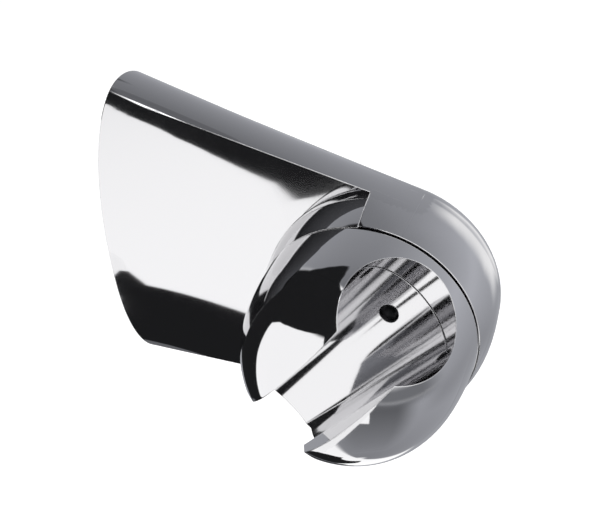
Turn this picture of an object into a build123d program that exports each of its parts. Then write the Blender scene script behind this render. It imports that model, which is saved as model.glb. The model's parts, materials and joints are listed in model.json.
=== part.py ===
"""Wall-mounted hand shower holder: a hollow arm, a turning holder disc and its pivot."""
import os
from math import acos, atan2, cos, degrees, hypot, pi, radians, sin, tan

from build123d import *

# Frame: the wall is the plane Y=0, the arm points along -Y, +Z is up.
# The origin is the middle of the wall end, the pivot axis runs along X, the disc is on the -X side.

# Wall end of the arm (a full oval)
WALL_HALF_WIDTH = 17.9
WALL_HALF_HEIGHT = 36.2
WALL_OVAL_POWER = 2.2
CREASE_ANGLE = 67.0

# Pivot and the round tip of the arm
PIVOT_REACH = 59.7
PIVOT_DROP = 11.2
TIP_RADIUS = 25.9
TIP_CROWN = 0.15
STRAP_NEAR_X = -4.5
STRAP_FAR_X = 3.5
FAR_DOME_X = 14.0
FAR_DOME_POWER = 2.2
FLARE_POWER = 3.0

# Boss that carries the disc
BOSS_FACE_X = -14.5
BOSS_EDGE_RADIUS = 24.0
BOSS_SWELL = 0.35
BOSS_ROOT = 0.5
STRAP_STEP = 0.35
STEP_ANGLE = 87.0
STEP_CHAMFER = 0.3
STEP_CHAMFER_ANGLE = 0.7
SHOULDER_INNER = 18.0

# Hollow of the arm
ARM_WALL = 2.6
CAVITY_DEPTH = 38.0
CAVITY_MID_DEPTH = 14.0

# Holder disc
DISC_GAP = 0.6
DISC_RADIUS = 24.0
DOME_RADIUS = 23.6
DISC_DEPTH = 29.2
DOME_POWER = 2.46
DOME_POINTS = 8

# Seat for the handset cone
SEAT_ANGLE = 48.75
SEAT_AXIS_DEPTH = 15.3
SEAT_OFFSET = 1.1
SEAT_RADIUS = 11.7
SEAT_RADIUS_AT = 21.1
SEAT_TAPER = 0.052
SLOT_UPPER_WIDTH = 7.5
SLOT_LOWER_WIDTH = 6.1
SEAT_REACH = 32.0

# Liner sleeve in the seat
LINER_WALL = 1.6
LINER_TOP_AT = 18.3
LINER_SEAM = 0.25
LINER_CLEARANCE = 0.03
LINER_EDGE_DEPTH = 9.5
SEAM_LINE_DEPTH = 12.4
SEAM_GROOVE = 0.3
LOW_CUT_REACH = 25.2
LOW_CUT_DEPTH = 6.1
LOW_CUT_SLOPE = 0.663

# Set screw that locks the liner
SET_SCREW_AT = 10.3
SET_SCREW_ACROSS = 0.3
SET_SCREW_HOLE_RADIUS = 2.0
SET_SCREW_RADIUS = 1.97
SET_SCREW_LENGTH = 6.0
SET_SCREW_SETBACK = 1.1
SET_SCREW_SOCKET = 2.0
SET_SCREW_SOCKET_DEPTH = 2.0

# Pivot parts
HUB_RADIUS = 13.5
HUB_CLEARANCE = 0.05
HUB_LENGTH = 9.4
BUSH_WALL = 1.4
PRESS_CLEARANCE = 0.02
BUSH_END_GAP = 0.2
WEB_FACE_X = -5.0
WEB_THICKNESS = 4.0
RING_INNER_RADIUS = 15.6
RING_OUTER_RADIUS = 22.6
RING_RECESS = 0.6
INSERT_RADIUS = 4.5
INSERT_LENGTH = 7.0
INSERT_GROOVE_RADIUS = 4.1
INSERT_GROOVE_WIDTH = 1.2
BOLT_THREAD_RADIUS = 3.0
BOLT_THREAD_LENGTH = 6.5
BOLT_SHOULDER_RADIUS = 4.0
BOLT_CLEARANCE = 0.1
BOLT_HEAD_RADIUS = 6.5
BOLT_HEAD_HEIGHT = 4.0
BOLT_SOCKET = 4.0
BOLT_SOCKET_DEPTH = 2.4
WASHER_THICKNESS = 1.0
WASHER_RADIUS = 7.8
SPRING_THICKNESS = 0.6
SPRING_RISE = 0.45
SPRING_RADIUS = 7.4
SPRING_COUNT = 2
POCKET_RADIUS = 9.0
CAP_CLEARANCE = 0.05
CAP_THICKNESS = 2.4
CAP_SKIRT_DEPTH = 3.0
CAP_SKIRT_WALL = 1.2

# Wall bracket
BRACKET_HALF_WIDTH = 12.4
BRACKET_HALF_HEIGHT = 30.2
BRACKET_THICKNESS = 3.0
BRACKET_SCREW_SPACING = 32.0
BRACKET_HOLE_RADIUS = 2.5
BRACKET_SINK_RADIUS = 4.6
BRACKET_SINK_DEPTH = 2.0
FOOT_HALF_WIDTH = 3.2
FOOT_DEPTH = 14.0
FOOT_RISE = 8.8
FOOT_HEIGHT = 5.0
HOOK_HALF_WIDTH = 3.4
HOOK_DROP = 14.2
HOOK_TOP_DROP = 8.0
HOOK_THICKNESS = 2.2
HOOK_OUT = 8.4
RIB_CLEARANCE = 0.15
RIB_DROP = 10.6
RIB_EXTRA_WIDTH = 1.0

# Grub screw that locks the arm on its bracket
GRUB_OUT = 9.0
GRUB_RADIUS = 2.0
GRUB_LENGTH = 7.5
GRUB_POINT = 1.2
GRUB_SOCKET = 2.0
GRUB_SOCKET_DEPTH = 2.2
GRUB_LUG_RADIUS = 4.6
GRUB_LUG_RISE = 7.8
GRUB_BITE = 0.1
DIMPLE_DEPTH = 1.0

PIVOT_Y = -PIVOT_REACH
PIVOT_Z = -PIVOT_DROP
OVERCUT = 5.0
PAST = 1.0
JOIN = 0.5
SIDE_POINTS = 7
SHOULDER_STEPS = 3
ARM_STATIONS = (0.0, 0.2, 0.42, 0.66, 1.0)
DISC_BACK_X = BOSS_FACE_X - DISC_GAP
SEAT_X = BOSS_FACE_X - SEAT_AXIS_DEPTH
STRAP_MIDDLE_X = (STRAP_NEAR_X + STRAP_FAR_X) / 2
BOSS_ROOT_X = STRAP_NEAR_X + BOSS_ROOT
HUB_END_X = DISC_BACK_X + HUB_LENGTH
POCKET_FLOOR_X = WEB_FACE_X + WEB_THICKNESS
FOOT_BOTTOM = -WALL_HALF_HEIGHT + FOOT_RISE
GRUB_LUG_TOP = -WALL_HALF_HEIGHT + GRUB_LUG_RISE
HOOK_BOTTOM = WALL_HALF_HEIGHT - HOOK_DROP
HOOK_TOP = WALL_HALF_HEIGHT - HOOK_TOP_DROP
RIB_BOTTOM = WALL_HALF_HEIGHT - RIB_DROP


def tangent_angle(wall_z, side):
    """Angle about the pivot where a straight line from the wall end touches the tip circle."""
    rise = wall_z - PIVOT_Z
    away = hypot(PIVOT_REACH, rise)
    return atan2(rise, PIVOT_REACH) + side * acos((TIP_RADIUS + TIP_CROWN) / away)


TOP_ANGLE = tangent_angle(WALL_HALF_HEIGHT, 1)
BOTTOM_ANGLE = tangent_angle(-WALL_HALF_HEIGHT, -1)


def far_dome_x(radius):
    """How far the rounded back of the tip stands out at a radius from the pivot."""
    share = max(0.0, 1.0 - (radius / TIP_RADIUS) ** FAR_DOME_POWER)
    return STRAP_FAR_X + (FAR_DOME_X - STRAP_FAR_X) * share ** (1 / FAR_DOME_POWER)


def blend(start, end, share):
    return start + (end - start) * share


def tip_radius_at(along):
    """Radius on the tip's side that belongs to a place along the arm's side."""
    share = sin(radians(CREASE_ANGLE) * along) / sin(radians(CREASE_ANGLE))
    return TIP_RADIUS * share ** (2 / WALL_OVAL_POWER)


def side_point(station, along, half, near):
    """A point on the arm's side: along runs from the middle line to the crease."""
    psi = radians(CREASE_ANGLE) * along
    crease = radians(CREASE_ANGLE)
    power = 2 / WALL_OVAL_POWER
    wall_x = WALL_HALF_WIDTH * cos(psi) ** power
    crease_x = WALL_HALF_WIDTH * cos(crease) ** power
    wall_z = WALL_HALF_HEIGHT * sin(psi) ** power
    radius = tip_radius_at(along)
    angle = TOP_ANGLE if half > 0 else BOTTOM_ANGLE
    y = blend(0, PIVOT_Y + radius * cos(angle), station)
    z = blend(half * wall_z, PIVOT_Z + radius * sin(angle), station)
    if near:
        x = -blend(crease_x, -STRAP_NEAR_X, station)
        x -= (wall_x - crease_x) * (1 - station) ** FLARE_POWER
    else:
        x = blend(wall_x, far_dome_x(radius), station)
    return Vector(x, y, z)


def crown_point(station, half):
    """The middle of the arm's top or bottom band."""
    radius = TIP_RADIUS + TIP_CROWN
    angle = TOP_ANGLE if half > 0 else BOTTOM_ANGLE
    return Vector(
        blend(0, STRAP_MIDDLE_X, station),
        blend(0, PIVOT_Y + radius * cos(angle), station),
        blend(half * WALL_HALF_HEIGHT, PIVOT_Z + radius * sin(angle), station),
    )


def half_section(station, half):
    """Closed outline of the upper or lower half of the arm at one station."""
    steps = [i / (SIDE_POINTS - 1) for i in range(SIDE_POINTS)]
    near = [side_point(station, s, half, True) for s in steps]
    far = [side_point(station, s, half, False) for s in reversed(steps)]
    return Wire([
        Edge.make_spline(near),
        Edge.make_three_point_arc(near[-1], crown_point(station, half), far[0]),
        Edge.make_spline(far),
        Edge.make_line(far[-1], near[0]),
    ])


def arm_half(half):
    return Solid.make_loft([half_section(s, half) for s in ARM_STATIONS])


def pivot_turned(profile_points):
    """Turn an outline given as (x, radius) points about the pivot axis."""
    points = [(x, PIVOT_Y, PIVOT_Z + r) for x, r in profile_points]
    wire = Wire.make_polygon(points, close=True)
    return Solid.revolve(Face(wire), 360, Axis((0, PIVOT_Y, PIVOT_Z), (1, 0, 0)))


def pivot_cylinder(radius, x0, x1):
    return pivot_turned([(x0, 0), (x0, radius), (x1, radius), (x1, 0)])


def band_profile(grow, x_start):
    """Half outline of the tip: the arched band from x_start to the back, then the rounded back."""
    def at(x, r):
        return (x, PIVOT_Y, PIVOT_Z + r)
    band = Edge.make_spline([
        at(x_start, BOSS_EDGE_RADIUS + grow),
        at((x_start + STRAP_NEAR_X) / 2, (BOSS_EDGE_RADIUS + TIP_RADIUS) / 2 + BOSS_SWELL + grow),
        at(STRAP_NEAR_X, TIP_RADIUS + grow / 2),
        at(STRAP_MIDDLE_X, TIP_RADIUS + TIP_CROWN),
        at(STRAP_FAR_X, TIP_RADIUS),
    ])
    radii = [tip_radius_at(i / (SIDE_POINTS - 1)) for i in reversed(range(SIDE_POINTS))]
    dome = Edge.make_spline([at(far_dome_x(r), r) for r in radii])
    return Face(Wire([
        band, dome,
        Edge.make_line(at(FAR_DOME_X, 0), at(x_start, 0)),
        Edge.make_line(at(x_start, 0), at(x_start, BOSS_EDGE_RADIUS + grow)),
    ]))


def tip_sector():
    """The round tip, swept from the top tangent line to the bottom one."""
    axis = Axis((0, PIVOT_Y, PIVOT_Z), (1, 0, 0))
    sweep = degrees(2 * pi + BOTTOM_ANGLE - TOP_ANGLE)
    face = band_profile(STRAP_STEP, BOSS_FACE_X).rotate(axis, degrees(TOP_ANGLE) - 90)
    return Solid.revolve(face, sweep, axis)


def shoulder_section(angle, drop):
    """Half outline of the widened band between the boss and the top band at one angle."""
    def at(x, r):
        a = radians(angle)
        return Vector(x, PIVOT_Y + r * cos(a), PIVOT_Z + r * sin(a))
    reach = TIP_RADIUS / cos(TOP_ANGLE - radians(angle))
    low = BOSS_EDGE_RADIUS + STRAP_STEP - drop
    middle = (low + reach) / 2 + BOSS_SWELL - drop
    points = [at(BOSS_FACE_X, low), at((BOSS_FACE_X + STRAP_NEAR_X) / 2, middle),
              at(STRAP_NEAR_X, reach - drop)]
    return Wire([
        Edge.make_spline(points),
        Edge.make_line(points[-1], at(BOSS_ROOT_X, reach - drop)),
        Edge.make_line(at(BOSS_ROOT_X, reach - drop), at(BOSS_ROOT_X, SHOULDER_INNER)),
        Edge.make_line(at(BOSS_ROOT_X, SHOULDER_INNER), at(BOSS_FACE_X, SHOULDER_INNER)),
        Edge.make_line(at(BOSS_FACE_X, SHOULDER_INNER), points[0]),
    ])


def shoulder():
    """The band's widening beside the boss, with a fine chamfer on its first edge."""
    top = degrees(TOP_ANGLE)
    start = STEP_ANGLE + STEP_CHAMFER_ANGLE
    stations = [blend(start, top, i / SHOULDER_STEPS) for i in range(SHOULDER_STEPS + 1)]
    edge = Solid.make_loft([shoulder_section(STEP_ANGLE, STEP_CHAMFER), shoulder_section(start, 0)], True)
    return edge + Solid.make_loft([shoulder_section(a, 0) for a in stations])


def boss():
    """The wall side of the round boss; the tip sector is its other side."""
    axis = Axis((0, PIVOT_Y, PIVOT_Z), (1, 0, 0))
    def at(x, r):
        return (x, PIVOT_Y, PIVOT_Z + r)
    side = Edge.make_spline([
        at(BOSS_FACE_X, BOSS_EDGE_RADIUS),
        at((BOSS_FACE_X + STRAP_NEAR_X) / 2, (BOSS_EDGE_RADIUS + TIP_RADIUS) / 2 + BOSS_SWELL),
        at(BOSS_ROOT_X, TIP_RADIUS),
    ])
    outline = Wire([side, Edge.make_line(at(BOSS_ROOT_X, TIP_RADIUS), at(BOSS_ROOT_X, 0)),
                    Edge.make_line(at(BOSS_ROOT_X, 0), at(BOSS_FACE_X, 0)),
                    Edge.make_line(at(BOSS_FACE_X, 0), at(BOSS_FACE_X, BOSS_EDGE_RADIUS))])
    face = Face(outline).rotate(axis, degrees(BOTTOM_ANGLE) - 90)
    return Solid.revolve(face, degrees(TOP_ANGLE - BOTTOM_ANGLE), axis)


def oval(half_width, half_height, x, y, z):
    plane = Plane(origin=(x, y, z), x_dir=(1, 0, 0), z_dir=(0, -1, 0))
    return Wire([Edge.make_ellipse(half_width, half_height, plane)])


def cavity():
    """The hollow of the arm, open towards the wall and running in under the pivot."""
    sections = [oval(WALL_HALF_WIDTH - ARM_WALL, WALL_HALF_HEIGHT - ARM_WALL, 0, 0, 0)]
    for depth in (CAVITY_MID_DEPTH, CAVITY_DEPTH):
        station = depth / PIVOT_REACH
        near = side_point(station, 0, 1, True).X + ARM_WALL
        far = side_point(station, 0, 1, False).X - ARM_WALL
        top_z = blend(WALL_HALF_HEIGHT, PIVOT_Z + TIP_RADIUS / sin(TOP_ANGLE), station) - ARM_WALL
        bottom_z = blend(-WALL_HALF_HEIGHT, PIVOT_Z - TIP_RADIUS, station) + ARM_WALL
        sections.append(oval((far - near) / 2, (top_z - bottom_z) / 2,
                             (far + near) / 2, -depth, (top_z + bottom_z) / 2))
    return Solid.make_loft(sections)


def upright_cylinder(radius, x, y, z0, z1):
    return Solid.make_cylinder(radius, z1 - z0, Plane(origin=(x, y, z0)))


def outward_cylinder(radius, x, z, y0, y1):
    """A cylinder that runs from the wall outwards, from depth y0 to depth y1."""
    plane = Plane(origin=(x, -y0, z), x_dir=(1, 0, 0), z_dir=(0, -1, 0))
    return Solid.make_cylinder(radius, y1 - y0, plane)


def block(x0, x1, y0, y1, z0, z1):
    return Pos((x0 + x1) / 2, (y0 + y1) / 2, (z0 + z1) / 2) * Box(x1 - x0, y1 - y0, z1 - z0)


def arm_outer():
    return arm_half(1) + arm_half(-1) + tip_sector() + boss() + shoulder()


def arm_body(outer):
    """Hollow arm with its boss, the pivot web, the lock screw's lug and the hanging rib."""
    hollow = cavity()
    body = outer - hollow
    lug = upright_cylinder(GRUB_LUG_RADIUS, 0, -GRUB_OUT, -WALL_HALF_HEIGHT - OVERCUT, GRUB_LUG_TOP)
    rib_half = HOOK_HALF_WIDTH + RIB_EXTRA_WIDTH
    rib = block(-rib_half, rib_half, -HOOK_OUT + HOOK_THICKNESS + RIB_CLEARANCE,
                -BRACKET_THICKNESS - RIB_CLEARANCE, RIB_BOTTOM, WALL_HALF_HEIGHT)
    body = body + (lug & outer) + (rib & outer)
    body -= upright_cylinder(GRUB_RADIUS + PRESS_CLEARANCE, 0, -GRUB_OUT,
                             -WALL_HALF_HEIGHT - OVERCUT, GRUB_LUG_TOP + PAST)
    # bore for the bush and the hub, with the pivot web behind it
    body -= pivot_cylinder(HUB_RADIUS + HUB_CLEARANCE + BUSH_WALL + PRESS_CLEARANCE,
                           BOSS_FACE_X - PAST, WEB_FACE_X)
    # recess that holds the friction ring
    body -= pivot_cylinder(RING_OUTER_RADIUS + PRESS_CLEARANCE, BOSS_FACE_X - PAST, BOSS_FACE_X + RING_RECESS)
    # bolt hole and the pocket for the bolt head and springs
    body -= pivot_cylinder(BOLT_SHOULDER_RADIUS + BOLT_CLEARANCE, WEB_FACE_X - PAST, OVERCUT)
    body -= pivot_cylinder(POCKET_RADIUS, POCKET_FLOOR_X, FAR_DOME_X + OVERCUT)
    return body


def pivot_cap(outer):
    """Snap-in cap that closes the bolt pocket, flush with the rounded back."""
    radius = POCKET_RADIUS - CAP_CLEARANCE
    edge_x = far_dome_x(radius)
    plug = pivot_cylinder(radius, edge_x - CAP_THICKNESS, FAR_DOME_X + OVERCUT) & outer
    skirt = pivot_turned([(edge_x - CAP_THICKNESS - CAP_SKIRT_DEPTH, radius - CAP_SKIRT_WALL),
                          (edge_x - CAP_THICKNESS - CAP_SKIRT_DEPTH, radius),
                          (edge_x - CAP_THICKNESS, radius), (edge_x - CAP_THICKNESS, radius - CAP_SKIRT_WALL)])
    return plug + skirt


def seat_plane(along):
    """Plane square to the seat axis at a distance along it from the pivot axis."""
    a = radians(SEAT_ANGLE)
    direction = Vector(0, -cos(a), sin(a))
    across = Vector(0, sin(a), cos(a))
    origin = Vector(SEAT_X, PIVOT_Y, PIVOT_Z) + direction * along + across * SEAT_OFFSET
    return Plane(origin=origin, x_dir=(1, 0, 0), z_dir=direction)


def seat_cone(grow, start, end):
    """Tapered seat, made bigger all round by grow, between two distances along its axis."""
    r0 = SEAT_RADIUS - SEAT_TAPER * (SEAT_RADIUS_AT - start) + grow
    r1 = SEAT_RADIUS - SEAT_TAPER * (SEAT_RADIUS_AT - end) + grow
    return Solid.make_cone(r0, r1, end - start, seat_plane(start))


def slot_cut():
    """The hose slot, set a little above the seat axis, from that axis out through the front."""
    depth = DISC_DEPTH + OVERCUT
    shift = (SLOT_UPPER_WIDTH - SLOT_LOWER_WIDTH) / 2
    box = Box(depth, SLOT_UPPER_WIDTH + SLOT_LOWER_WIDTH, 2 * SEAT_REACH)
    return seat_plane(0).location * Pos(-depth / 2, shift, 0) * box


def disc_outer(inset):
    """Domed outer form of the holder disc, drawn in all round by inset."""
    def at(x, r):
        return (x, PIVOT_Y, PIVOT_Z + r)
    front = BOSS_FACE_X - DISC_DEPTH + inset
    length = DISC_BACK_X - front
    power = 2 / DOME_POWER
    turns = [i * pi / 2 / DOME_POINTS for i in range(1, DOME_POINTS)]
    dome = [at(DISC_BACK_X - length * sin(t) ** power, (DOME_RADIUS - inset) * cos(t) ** power) for t in turns]
    start = at(DISC_BACK_X, DISC_RADIUS - inset)
    end = at(front, 0)
    outline = Edge.make_spline([start] + dome + [end], tangents=[(-1, 0, -0.06), (0, 0, -1)])
    face = Face(Wire([outline, Edge.make_line(end, at(DISC_BACK_X, 0)), Edge.make_line(at(DISC_BACK_X, 0), start)]))
    return Solid.revolve(face, 360, Axis((0, PIVOT_Y, PIVOT_Z), (1, 0, 0)))


def holder_disc():
    """Turning disc with the seat, the hose slot, the liner's pocket and the pivot hub."""
    body = disc_outer(0)
    body += pivot_cylinder(HUB_RADIUS, DISC_BACK_X - JOIN, HUB_END_X)
    body -= seat_cone(0, -SEAT_REACH, SEAT_REACH)
    pocket = seat_cone(LINER_WALL + LINER_CLEARANCE, -SEAT_REACH, LINER_TOP_AT + LINER_SEAM)
    body -= pocket & behind_edge(LINER_EDGE_DEPTH + LINER_CLEARANCE)
    body -= seat_cone(SEAM_GROOVE, LINER_TOP_AT, LINER_TOP_AT + LINER_SEAM) & behind_edge(SEAM_LINE_DEPTH)
    body -= slot_cut()
    body -= low_cut()
    body -= pivot_cylinder(INSERT_RADIUS + PRESS_CLEARANCE, HUB_END_X - INSERT_LENGTH, HUB_END_X + PAST)
    body -= set_screw_shape(PRESS_CLEARANCE, OVERCUT)
    return body


def set_screw_shape(grow, extra):
    a = radians(SEAT_ANGLE)
    y = PIVOT_Y - SET_SCREW_AT * cos(a) + SET_SCREW_ACROSS * sin(a)
    z = PIVOT_Z + SET_SCREW_AT * sin(a) + SET_SCREW_ACROSS * cos(a)
    radius = SEAT_RADIUS - SEAT_TAPER * (SEAT_RADIUS_AT - SET_SCREW_AT)
    top = SEAT_X + radius + SET_SCREW_SETBACK
    plane = Plane(origin=(top - extra, y, z), x_dir=(0, 1, 0), z_dir=(1, 0, 0))
    return Solid.make_cylinder(SET_SCREW_RADIUS + grow, SET_SCREW_LENGTH + extra + grow, plane)


def hex_prism(width, plane, depth):
    face = plane * RegularPolygon(width / 2, 6, major_radius=False)
    return extrude(face, amount=depth)


def liner_set_screw():
    """Small socket set screw sunk in the liner's round hole."""
    body = set_screw_shape(0, 0)
    box = body.bounding_box()
    plane = Plane(origin=(box.min.X, body.center().Y, body.center().Z), x_dir=(0, 1, 0), z_dir=(1, 0, 0))
    return body - hex_prism(SET_SCREW_SOCKET, plane, SET_SCREW_SOCKET_DEPTH)


def cone_liner():
    """Thin C-shaped sleeve that lines the tapered seat."""
    body = seat_cone(LINER_WALL, -SEAT_REACH, LINER_TOP_AT) - seat_cone(0, -SEAT_REACH - PAST, LINER_TOP_AT + PAST)
    body = body & behind_edge(LINER_EDGE_DEPTH)
    body -= low_cut()
    body -= set_screw_hole()
    return body


def behind_edge(depth):
    """The space from the disc's back face out to a depth, as a block."""
    edge = BOSS_FACE_X - depth
    return block(edge, DISC_BACK_X, PIVOT_Y - 2 * SEAT_REACH, PIVOT_Y + 2 * SEAT_REACH,
                 PIVOT_Z - 2 * SEAT_REACH, PIVOT_Z + 2 * SEAT_REACH)


def low_cut():
    """Block that trims the seat's lower end on a slant, deeper at the front."""
    a = radians(SEAT_ANGLE)
    axis = Vector(0, -cos(a), sin(a))
    outward = (axis * -1 + Vector(-LOW_CUT_SLOPE, 0, 0)).normalized()
    point = Vector(BOSS_FACE_X - LOW_CUT_DEPTH, PIVOT_Y, PIVOT_Z) - axis * LOW_CUT_REACH
    plane = Plane(origin=point, x_dir=(0, sin(a), cos(a)), z_dir=outward)
    size = 4 * SEAT_REACH
    return plane.location * Pos(0, 0, size / 2) * Box(size, size, size)


def set_screw_hole():
    a = radians(SEAT_ANGLE)
    y = PIVOT_Y - SET_SCREW_AT * cos(a) + SET_SCREW_ACROSS * sin(a)
    z = PIVOT_Z + SET_SCREW_AT * sin(a) + SET_SCREW_ACROSS * cos(a)
    plane = Plane(origin=(SEAT_X, y, z), x_dir=(0, 1, 0), z_dir=(1, 0, 0))
    return Solid.make_cylinder(SET_SCREW_HOLE_RADIUS, SEAT_AXIS_DEPTH, plane)


def bearing_bush():
    inner = HUB_RADIUS + HUB_CLEARANCE
    outer = inner + BUSH_WALL
    x0 = BOSS_FACE_X + BUSH_END_GAP
    x1 = WEB_FACE_X
    return pivot_turned([(x0, inner), (x0, outer), (x1, outer), (x1, inner)])


def friction_ring():
    x0, x1 = DISC_BACK_X, BOSS_FACE_X + RING_RECESS
    return pivot_turned([(x0, RING_INNER_RADIUS), (x0, RING_OUTER_RADIUS),
                         (x1, RING_OUTER_RADIUS), (x1, RING_INNER_RADIUS)])


def thread_insert():
    """Brass insert with two rings of knurl either side of a groove."""
    x1 = HUB_END_X
    x0 = x1 - INSERT_LENGTH
    middle = (x0 + x1) / 2
    g0, g1 = middle - INSERT_GROOVE_WIDTH / 2, middle + INSERT_GROOVE_WIDTH / 2
    bore = BOLT_THREAD_RADIUS + PRESS_CLEARANCE
    return pivot_turned([(x0, bore), (x0, INSERT_RADIUS), (g0, INSERT_RADIUS), (g0, INSERT_GROOVE_RADIUS),
                         (g1, INSERT_GROOVE_RADIUS), (g1, INSERT_RADIUS), (x1, INSERT_RADIUS), (x1, bore)])


def spring_stack_end():
    return POCKET_FLOOR_X + WASHER_THICKNESS + SPRING_COUNT * (SPRING_THICKNESS + SPRING_RISE)


def pivot_bolt():
    """Shoulder bolt with a hexagon socket; its shoulder bears on the hub."""
    shoulder = HUB_END_X
    head = spring_stack_end()
    end = head + BOLT_HEAD_HEIGHT
    body = pivot_turned([(shoulder - BOLT_THREAD_LENGTH, 0), (shoulder - BOLT_THREAD_LENGTH, BOLT_THREAD_RADIUS),
                         (shoulder, BOLT_THREAD_RADIUS), (shoulder, BOLT_SHOULDER_RADIUS),
                         (head, BOLT_SHOULDER_RADIUS), (head, BOLT_HEAD_RADIUS), (end, BOLT_HEAD_RADIUS), (end, 0)])
    plane = Plane(origin=(end, PIVOT_Y, PIVOT_Z), x_dir=(0, 1, 0), z_dir=(-1, 0, 0))
    return body - hex_prism(BOLT_SOCKET, plane, BOLT_SOCKET_DEPTH)


def thrust_washer():
    x0 = POCKET_FLOOR_X
    bore = BOLT_SHOULDER_RADIUS + BOLT_CLEARANCE
    return pivot_turned([(x0, bore), (x0, WASHER_RADIUS), (x0 + WASHER_THICKNESS, WASHER_RADIUS),
                         (x0 + WASHER_THICKNESS, bore)])


def disc_springs():
    """Two coned springs that meet at their rims."""
    bore = BOLT_SHOULDER_RADIUS + BOLT_CLEARANCE
    x0 = POCKET_FLOOR_X + WASHER_THICKNESS
    t, rise = SPRING_THICKNESS, SPRING_RISE
    first = pivot_turned([(x0, bore), (x0 + rise, SPRING_RADIUS), (x0 + rise + t, SPRING_RADIUS), (x0 + t, bore)])
    x1 = x0 + 2 * (rise + t)
    second = pivot_turned([(x1, bore), (x1 - rise, SPRING_RADIUS), (x1 - rise - t, SPRING_RADIUS), (x1 - t, bore)])
    return Compound([first, second])


def wall_bracket():
    """Plate screwed to the wall, with the foot for the lock screw and the hook for the arm."""
    plate = Solid.extrude(Face(oval(BRACKET_HALF_WIDTH, BRACKET_HALF_HEIGHT, 0, 0, 0)),
                          Vector(0, -BRACKET_THICKNESS, 0))
    foot = block(-FOOT_HALF_WIDTH, FOOT_HALF_WIDTH, -FOOT_DEPTH, -BRACKET_THICKNESS + JOIN,
                 FOOT_BOTTOM, FOOT_BOTTOM + FOOT_HEIGHT)
    stem = block(-HOOK_HALF_WIDTH, HOOK_HALF_WIDTH, -HOOK_OUT, -BRACKET_THICKNESS + JOIN,
                 HOOK_BOTTOM, HOOK_BOTTOM + HOOK_THICKNESS)
    lip = block(-HOOK_HALF_WIDTH, HOOK_HALF_WIDTH, -HOOK_OUT, -HOOK_OUT + HOOK_THICKNESS, HOOK_BOTTOM, HOOK_TOP)
    body = plate + foot + stem + lip
    for side in (-1, 1):
        z = side * BRACKET_SCREW_SPACING / 2
        body -= outward_cylinder(BRACKET_HOLE_RADIUS, 0, z, -PAST, BRACKET_THICKNESS + PAST)
        sink = Plane(origin=(0, -BRACKET_THICKNESS, z), x_dir=(1, 0, 0), z_dir=(0, 1, 0))
        body -= Solid.make_cone(BRACKET_SINK_RADIUS, BRACKET_HOLE_RADIUS, BRACKET_SINK_DEPTH, sink)
    dimple = Plane(origin=(0, -GRUB_OUT, FOOT_BOTTOM))
    body -= Solid.make_cone(GRUB_RADIUS, GRUB_RADIUS - DIMPLE_DEPTH, DIMPLE_DEPTH, dimple)
    return body


def bracket_grub_screw():
    """Pointed grub screw that is turned from under the arm."""
    top = FOOT_BOTTOM + DIMPLE_DEPTH - GRUB_BITE
    base = top - GRUB_LENGTH
    body = upright_cylinder(GRUB_RADIUS, 0, -GRUB_OUT, base, top - GRUB_POINT)
    body += Solid.make_cone(GRUB_RADIUS, GRUB_RADIUS - GRUB_POINT, GRUB_POINT,
                            Plane(origin=(0, -GRUB_OUT, top - GRUB_POINT)))
    return body - hex_prism(GRUB_SOCKET, Plane(origin=(0, -GRUB_OUT, base)), GRUB_SOCKET_DEPTH)


def main():
    os.makedirs("parts", exist_ok=True)
    outer = arm_outer()
    parts = {
        "arm_body": arm_body(outer),
        "pivot_cap": pivot_cap(outer),
        "wall_bracket": wall_bracket(),
        "bracket_grub_screw": bracket_grub_screw(),
        "bearing_bush": bearing_bush(),
        "friction_ring": friction_ring(),
        "holder_disc": holder_disc(),
        "cone_liner": cone_liner(),
        "liner_set_screw": liner_set_screw(),
        "thread_insert": thread_insert(),
        "pivot_bolt": pivot_bolt(),
        "thrust_washer": thrust_washer(),
        "disc_springs": disc_springs(),
    }
    for node, shape in parts.items():
        solids = shape.solids()
        export_step(shape if len(solids) > 1 else solids[0], f"parts/{node}.step")
        print(node, len(solids), all(s.is_valid for s in solids), round(sum(s.volume for s in solids), 1))


main()
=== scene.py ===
import json
from math import ceil, cos, pi, radians, sin

import bmesh
import bpy
import numpy as np
from mathutils import Matrix, Vector
from mathutils.kdtree import KDTree


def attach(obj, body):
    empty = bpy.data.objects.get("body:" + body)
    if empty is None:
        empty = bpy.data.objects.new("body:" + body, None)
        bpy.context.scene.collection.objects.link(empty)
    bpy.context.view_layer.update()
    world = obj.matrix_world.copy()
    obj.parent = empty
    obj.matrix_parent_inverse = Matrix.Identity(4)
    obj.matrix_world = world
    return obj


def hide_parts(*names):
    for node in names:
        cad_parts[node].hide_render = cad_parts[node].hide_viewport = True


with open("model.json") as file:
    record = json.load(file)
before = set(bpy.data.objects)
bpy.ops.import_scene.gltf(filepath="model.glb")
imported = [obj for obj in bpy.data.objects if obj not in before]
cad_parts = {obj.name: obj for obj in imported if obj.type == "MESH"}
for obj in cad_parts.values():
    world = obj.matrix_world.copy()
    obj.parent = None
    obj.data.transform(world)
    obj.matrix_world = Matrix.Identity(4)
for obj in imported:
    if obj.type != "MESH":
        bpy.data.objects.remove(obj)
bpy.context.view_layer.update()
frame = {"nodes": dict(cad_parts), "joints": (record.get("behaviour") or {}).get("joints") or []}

bl_info = {
    "name": "Hand shower holder look",
    "version": (1, 0, 0),
    "blender": (4, 5, 0),
    "location": "3D View > Sidebar > Holder",
    "description": "Dresses the packed hand shower holder: chrome, plastics, threads and a small studio",
    "category": "Object",
}

MM = 0.001

# Pivot axis of the holder disc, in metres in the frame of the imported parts
PIVOT = Vector(frame["joints"][0]["pos_m"])

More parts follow.
